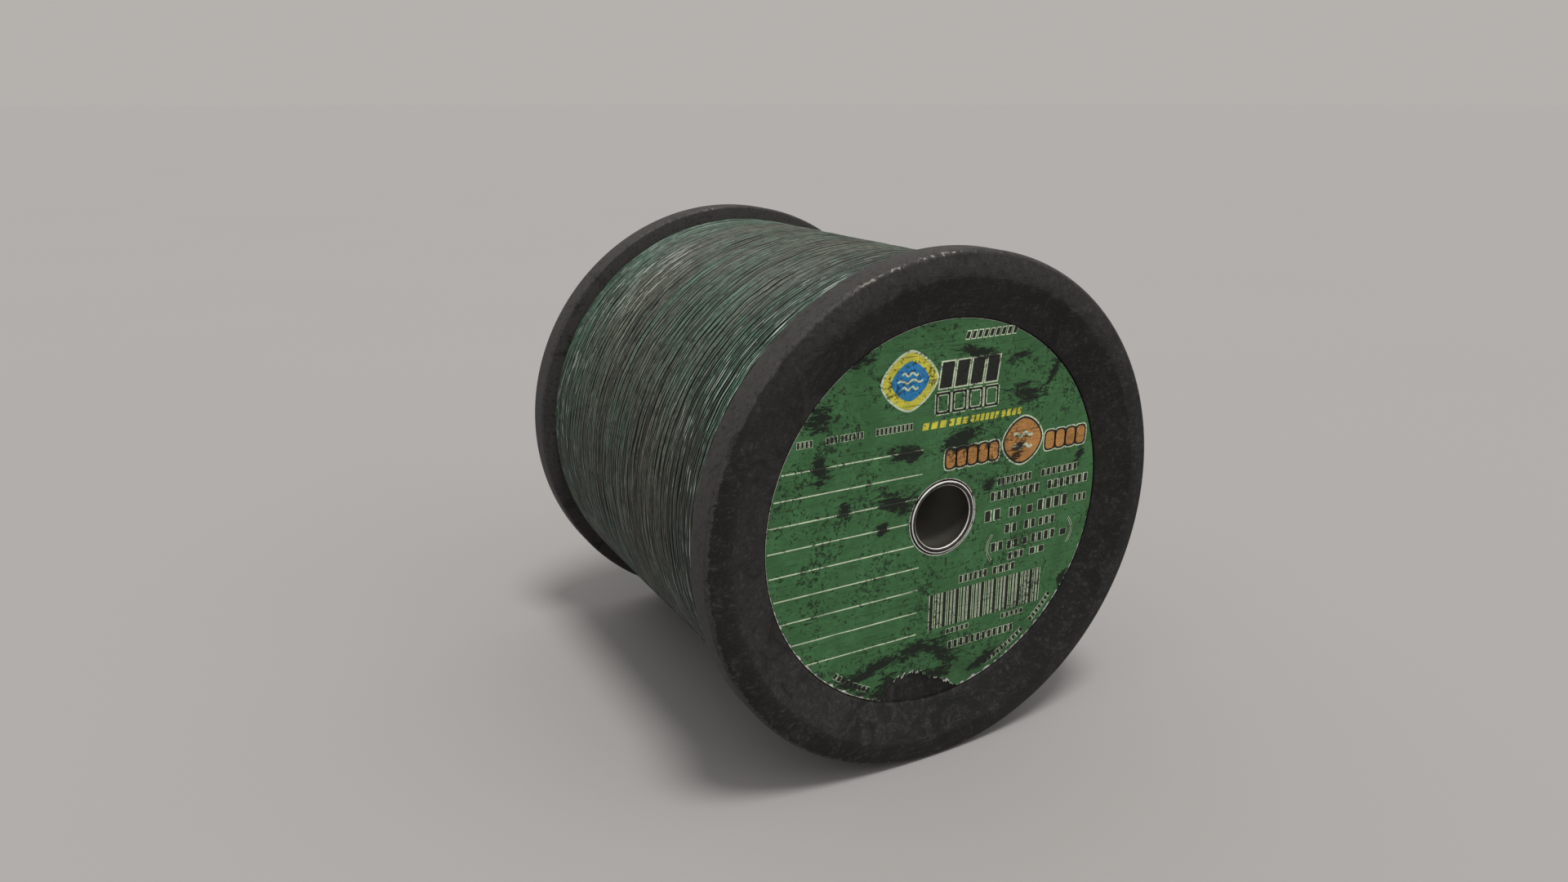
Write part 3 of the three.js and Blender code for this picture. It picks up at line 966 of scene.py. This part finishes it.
RULE_RIGHT = -6.6
RULE_HALF = 0.16
REAR_RULES = 5
REAR_RULE_TOP = -17.0
REAR_RULE_STEP = 5.2
STRIPES = (-2.8, 32.2, -29.2, -19.8)      # left, right, foot and top of the striped block
STRIPE_WIDTHS = (1.5, 0.7, 0.7)
STRIPE_GAP = 0.34
BOWS = ((14.0, -1), (41.6, 1))   # the two bowed lines beside the small print: x and which way


def ruled_lines(ink):
    """The front label's table: rules from its left edge to one right margin, clear of the hole."""
    clear = LABEL_HOLE + 0.5
    for i in range(RULES):
        z = RULE_TOP - i * RULE_STEP
        left = -math.sqrt((LABEL_RADIUS - 0.4) ** 2 - z**2)
        right = RULE_RIGHT
        if abs(z) < clear:
            right = min(right, -math.sqrt(clear**2 - z**2))
        ink.bar(left, right, z - RULE_HALF, z + RULE_HALF)


def stripes(ink, edge=0.0):
    """A block of plain upright stripes that repeats one run of widths."""
    x, right, foot, top = STRIPES
    for width in itertools.cycle(STRIPE_WIDTHS):
        if x + width >= right:
            break
        ink.bar(x - edge, x + width * 0.66 + edge, foot, top)
        x += width + STRIPE_GAP


def wave_line(x0, x1, z, height):
    """Two full waves from one x to another."""
    x = np.linspace(x0, x1, 25)
    return np.stack([x, z + height * np.sin((x - x0) / (x1 - x0) * 4 * np.pi)], axis=1)


def badge(middle, rings, power, wave_ink, wave_rows, wave_height, wave_width):
    """Rounded diamonds inside each other, with rows of waves over them.

    A ring is its ink, half width and half height. A row is its rise from the middle and its
    half length.
    """
    x, z = middle
    for ink, half_width, half_height in rings:
        ink.lozenge(x, z, half_width, half_height, power)
    for rise, half in wave_rows:
        wave_ink.ribbon(wave_line(x - half, x + half, z + rise, wave_height), wave_width)


def draw_front(ink):
    """Everything printed on the front label."""
    pale, dark, yellow, blue, orange, top_ink = ink.values()
    for x0, x1, foot, top, ticks in SMALL_WORDS:
        top = foot + (top - foot) * 0.84
        pale.ticks(x0 - 0.12, x1 + 0.12, foot - 0.12, top + 0.12, ticks, share=0.8)
        dark.ticks(x0, x1, foot, top, ticks)
    for x0, x1 in BLOCKS:
        pale.bar(x0, x1, BLOCK_FOOT, BLOCK_TOP, 0.4, 0.12)
        dark.bar(x0, x1, BLOCK_FOOT, BLOCK_TOP, 0.0, 0.12)
    for x0, x1 in BOXES:
        corners = [(x0, BOX_FOOT), (x1, BOX_FOOT), (x1, BOX_TOP), (x0, BOX_TOP), (x0, BOX_FOOT)]
        for start, end in zip(corners, corners[1:]):
            side = np.linspace(start, end, 3)
            pale.ribbon(side, 1.0)
            dark.ribbon(side, 0.5)
    rings = ((pale, 8.0, 7.2), (yellow, 7.4, 6.6), (blue, 5.2, 4.6))
    badge(BLUE_BADGE, rings, 1.5, top_ink, ((1.6, 2.2), (0.0, 3.4), (-1.6, 2.2)), 0.35, 0.5)
    for x0, x1, ticks in TAGLINE:
        yellow.ticks(x0, x1, TAGLINE_FOOT, TAGLINE_TOP, ticks, 0.2, 0.7)
    for x0, x1, pills in ORANGE_PILLS:
        step = (x1 - x0) / pills
        for i in range(pills):
            middle = (x0 + (i + 0.5) * step, PILL_FOOT + PILL_HEIGHT / 2)
            for shapes, grow in ((pale, 0.75), (dark, 0.45), (orange, 0.0)):
                shapes.lozenge(*middle, step * 0.41 + grow, PILL_HEIGHT / 2 + grow, 3.5)
    rings = ((pale, 6.6, 6.4), (dark, 6.2, 6.0), (orange, 5.7, 5.5))
    badge(ORANGE_BADGE, rings, 1.7, top_ink, ((-1.5, 2.9), (1.5, 2.9)), 0.5, 0.7)
    for start, end, ticks in EDGE_WORDS:
        pale.arc_ticks(44.45, 1.6, start, end, ticks, 0.8)
        dark.arc_ticks(44.6, 1.3, start, end, ticks)
    pale.ticks(3.8, 18.8, 42.4, 44.6, 9, 0.3, 0.8)
    dark.ticks(4.0, 18.8, 42.7, 44.3, 9, 0.3)
    ruled_lines(pale)
    stripes(pale, 0.2)
    stripes(dark)
    for x, way in BOWS:
        z = np.linspace(-14.6, -7.6, 9)
        bow = np.stack([x - way * 1.5 * ((z + 11.1) / 3.5) ** 2, z], axis=1)
        pale.ribbon(bow, 0.6)
        dark.ribbon(bow, 0.3)


def draw_rear(ink):
    """The rear label: a pale ring, the wave badge and a table of ruled lines."""
    pale = ink["pale"]
    turn = np.radians(np.linspace(0, 360, 181))
    pale.ribbon(np.stack([45.2 * np.sin(turn), 45.2 * np.cos(turn)], axis=1), 0.5)
    rings = ((pale, 12.4, 9.4), (ink["yellow"], 11.4, 8.6), (ink["blue"], 8.4, 6.2))
    badge(REAR_BADGE, rings, 1.6, ink["waves"], ((2.3, 4.0), (0.0, 5.6), (-2.3, 4.0)), 0.5, 0.8)
    for i in range(REAR_RULES):
        z = REAR_RULE_TOP - REAR_RULE_STEP * i
        half = math.sqrt(40.0**2 - z**2)
        pale.bar(-half, half, z - RULE_HALF, z + RULE_HALF)
    for x0, x1, ticks in ((-30, -20, 5), (-9, 7, 8), (17, 29, 6)):
        pale.ticks(x0, x1, -15.8, -14.0, ticks)


# Each ink's colour, how far it is rubbed back to the green, and its lift in mm.
INKS = {
    "pale": ((0.60, 0.70, 0.50), 0.15, HALO_LIFT),
    "dark": ((0.013, 0.012, 0.011), 0.15, INK_LIFT),
    "yellow": ((0.62, 0.58, 0.06), 0.15, INK_LIFT),
    "blue": ((0.02, 0.21, 0.48), 0.1, TOP_LIFT),
    "orange": ((0.47, 0.22, 0.06), 0.15, TOP_LIFT),
}


def make_label(side, smears, draw):
    """A paper sheet, its printed face, and one piece for each ink that is drawn on it."""
    front = side == "front"
    paper = printed(f"{side}_paper", LABEL_PAPER, smears)
    sheet = label_disc(f"{side}_label_paper", front, 0.0, 3, PAPER_LIFT, paper)
    green = printed(f"{side}_green", LABEL_GREEN, smears)
    label_disc(f"{side}_label_print", front, PRINT_INSET, 4, PRINT_LIFT, green)
    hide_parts(f"{side}_label")
    shapes_of = {ink: Print() for ink in (*INKS, "waves")}
    draw(shapes_of)
    materials = {}
    for ink, (tint, fade, lift) in INKS.items():
        if shapes_of[ink].quads:
            materials[ink] = printed(f"{side}_{ink}", tint, smears, fade)
            shapes_of[ink].make(f"{side}_print_{ink}", front, lift, materials[ink])
    shapes_of["waves"].make(f"{side}_print_waves", front, WAVE_LIFT, materials["pale"])


# ------------------------------ stage, light and camera

FLOOR_TONE = (0.345, 0.336, 0.332)
FLOOR_HALF = 60                          # in metres
HORIZON_TONE = (0.459, 0.440, 0.421)     # as bright as the floor looks far away
ZENITH_TONE = (0.84, 0.825, 0.81)
HORIZON_RISE = 0.3                       # how high the plain horizon reaches, of 1 overhead
# The camera stands to the left of the front and above it.
CAMERA_AZIMUTH = math.radians(-29.0)
CAMERA_ELEVATION = math.radians(17.68)
CAMERA_DISTANCE = 0.3010
CAMERA_AIM = Vector((-0.0079, 0.0053, 0.0025 + AXIS_HEIGHT * MM))
CAMERA_LENS = 24.44
SENSOR_WIDTH = 36


def make_floor():
    finish = Finish("floor_pale")
    darker = tuple(c * 0.98 for c in FLOOR_TONE)
    tint = finish.mix(finish.noise(finish.position(), 0.004, 2), darker, FLOOR_TONE)
    material = finish.set(Base_Color=tint, Roughness=0.9, Specular_IOR_Level=0.1)
    signs = ((-1, -1), (1, -1), (1, 1), (-1, 1))
    corners = [(x * FLOOR_HALF, y * FLOOR_HALF, 0) for x, y in signs]
    mesh = bpy.data.meshes.new("floor")
    mesh.from_pydata(corners, [], [(0, 1, 2, 3)])
    mesh.materials.append(material)
    floor = bpy.data.objects.new("floor", mesh)
    bpy.context.scene.collection.objects.link(floor)


def make_sun(name, towards, strength, softness_degrees, colour):
    """Even soft light that comes from one direction."""
    light = bpy.data.lights.new(name, "SUN")
    light.energy = strength
    light.angle = math.radians(softness_degrees)
    light.color = colour
    lamp = bpy.data.objects.new(name, light)
    lamp.rotation_euler = Vector(towards).to_track_quat("Z", "Y").to_euler()
    bpy.context.scene.collection.objects.link(lamp)


def make_world():
    """A plain room as bright as the floor at its horizon, and a broad soft light overhead."""
    world = bpy.data.worlds.new("studio")
    bpy.context.scene.world = world
    nodes = Nodes(world)
    direction = nodes.add("ShaderNodeTexCoord").outputs["Generated"]
    rise = nodes.ramp(nodes.split(direction)[2], HORIZON_RISE, 1.0)
    tint = nodes.mix(rise, HORIZON_TONE, ZENITH_TONE)
    nodes.feed(world.node_tree.nodes["Background"].inputs["Color"], tint)


def make_camera():
    """At the viewing angle of the reference."""
    level = math.cos(CAMERA_ELEVATION)
    across = math.sin(CAMERA_AZIMUTH) * level
    back = Vector((across, -math.cos(CAMERA_AZIMUTH) * level, math.sin(CAMERA_ELEVATION)))
    data = bpy.data.cameras.new("camera")
    data.sensor_width = SENSOR_WIDTH
    data.lens = CAMERA_LENS
    data.clip_start = 0.01
    camera = bpy.data.objects.new("camera", data)
    camera.location = CAMERA_AIM + back * CAMERA_DISTANCE
    camera.rotation_euler = (-back).to_track_quat("-Z", "Y").to_euler()
    bpy.context.scene.collection.objects.link(camera)
    bpy.context.scene.camera = camera


def finish_hidden_nodes():
    """The CAD pieces that stay as they are get their own finish."""
    stock = {
        "barrel": ((0.02, 0.02, 0.022), 0.6),
        "anchor_tape": ((0.55, 0.45, 0.26), 0.8),
    }
    for node, (colour, rough) in stock.items():
        material = plain_card(f"{node}_stock", colour, rough)
        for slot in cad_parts[node].material_slots:
            slot.material = material


make_flanges(flange_plastic())
make_arbor_tube(arbor_plastic())
make_wound_line(
    braided_line("line_outer", 1.0),
    braided_line("line_under", 0.12),
    # Painted shade: the core is near black, as the pack looks in its gaps.
    plain_card("line_core_shade", (0.012, 0.016, 0.013), 0.8),
)
make_label("front", SMEARS, draw_front)
make_label("rear", (), draw_rear)
finish_hidden_nodes()

make_floor()
make_world()
make_sun("key", (-0.02, -0.30, 0.95), 1.95, 16, (1.0, 0.98, 0.95))
make_sun("fill", (0.6, -0.7, 0.4), 0.32, 50, (0.96, 0.98, 1.0))
make_camera()
bpy.context.scene.view_settings.view_transform = "Standard"
